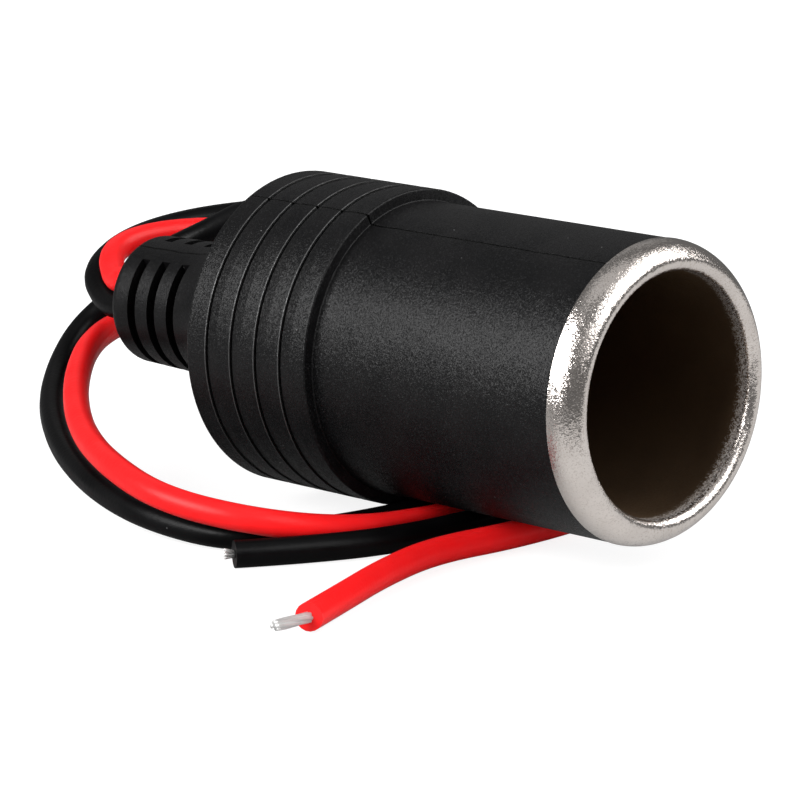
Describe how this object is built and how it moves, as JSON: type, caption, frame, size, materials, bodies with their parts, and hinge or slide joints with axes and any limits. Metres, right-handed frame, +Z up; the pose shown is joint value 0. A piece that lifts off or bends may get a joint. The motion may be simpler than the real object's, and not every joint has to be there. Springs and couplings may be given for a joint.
{
  "type": "car 12 v power socket",
  "caption": "In-line car power socket: a moulded black barrel round a plated shell with a rolled lip, ringed collar, slotted strain relief, and red and black bare-ended leads.",
  "frame": {"origin": "on the bore axis, in the plane of the lip's front at the mouth", "axes": "+X along the bore axis and out of the mouth, +Z up as the socket lies on its leads"},
  "size_m": [0.0785, 0.0733, 0.0296],
  "materials": {
    "black_moulding": "fine grained, satin, soft vinyl",
    "nickel_plate": "satin plated steel",
    "insulator_board": "pressed board, matte",
    "brass_contact": "stamped, satin",
    "tinned_copper": "tinned strands, satin",
    "solder": "smooth",
    "red_insulation": "extruded vinyl, soft gloss",
    "black_insulation": "extruded vinyl, soft gloss"
  },
  "bodies": {
    "root": {"socket_shell": "nickel_plate", "moulded_body": "black_moulding", "base_insulator": "insulator_board", "rear_washer": "insulator_board", "centre_contact": "brass_contact", "centre_rivet": "brass_contact", "positive_tag": "brass_contact", "negative_tag": "brass_contact", "red_solder_joint": "solder", "black_solder_joint": "solder", "red_inner_strands": "tinned_copper", "black_inner_strands": "tinned_copper", "red_inner_lead": "red_insulation", "black_inner_lead": "black_insulation", "red_lead": "red_insulation", "black_lead": "black_insulation", "red_bare_end": "tinned_copper", "black_bare_end": "tinned_copper"}
  },
  "joints": []
}
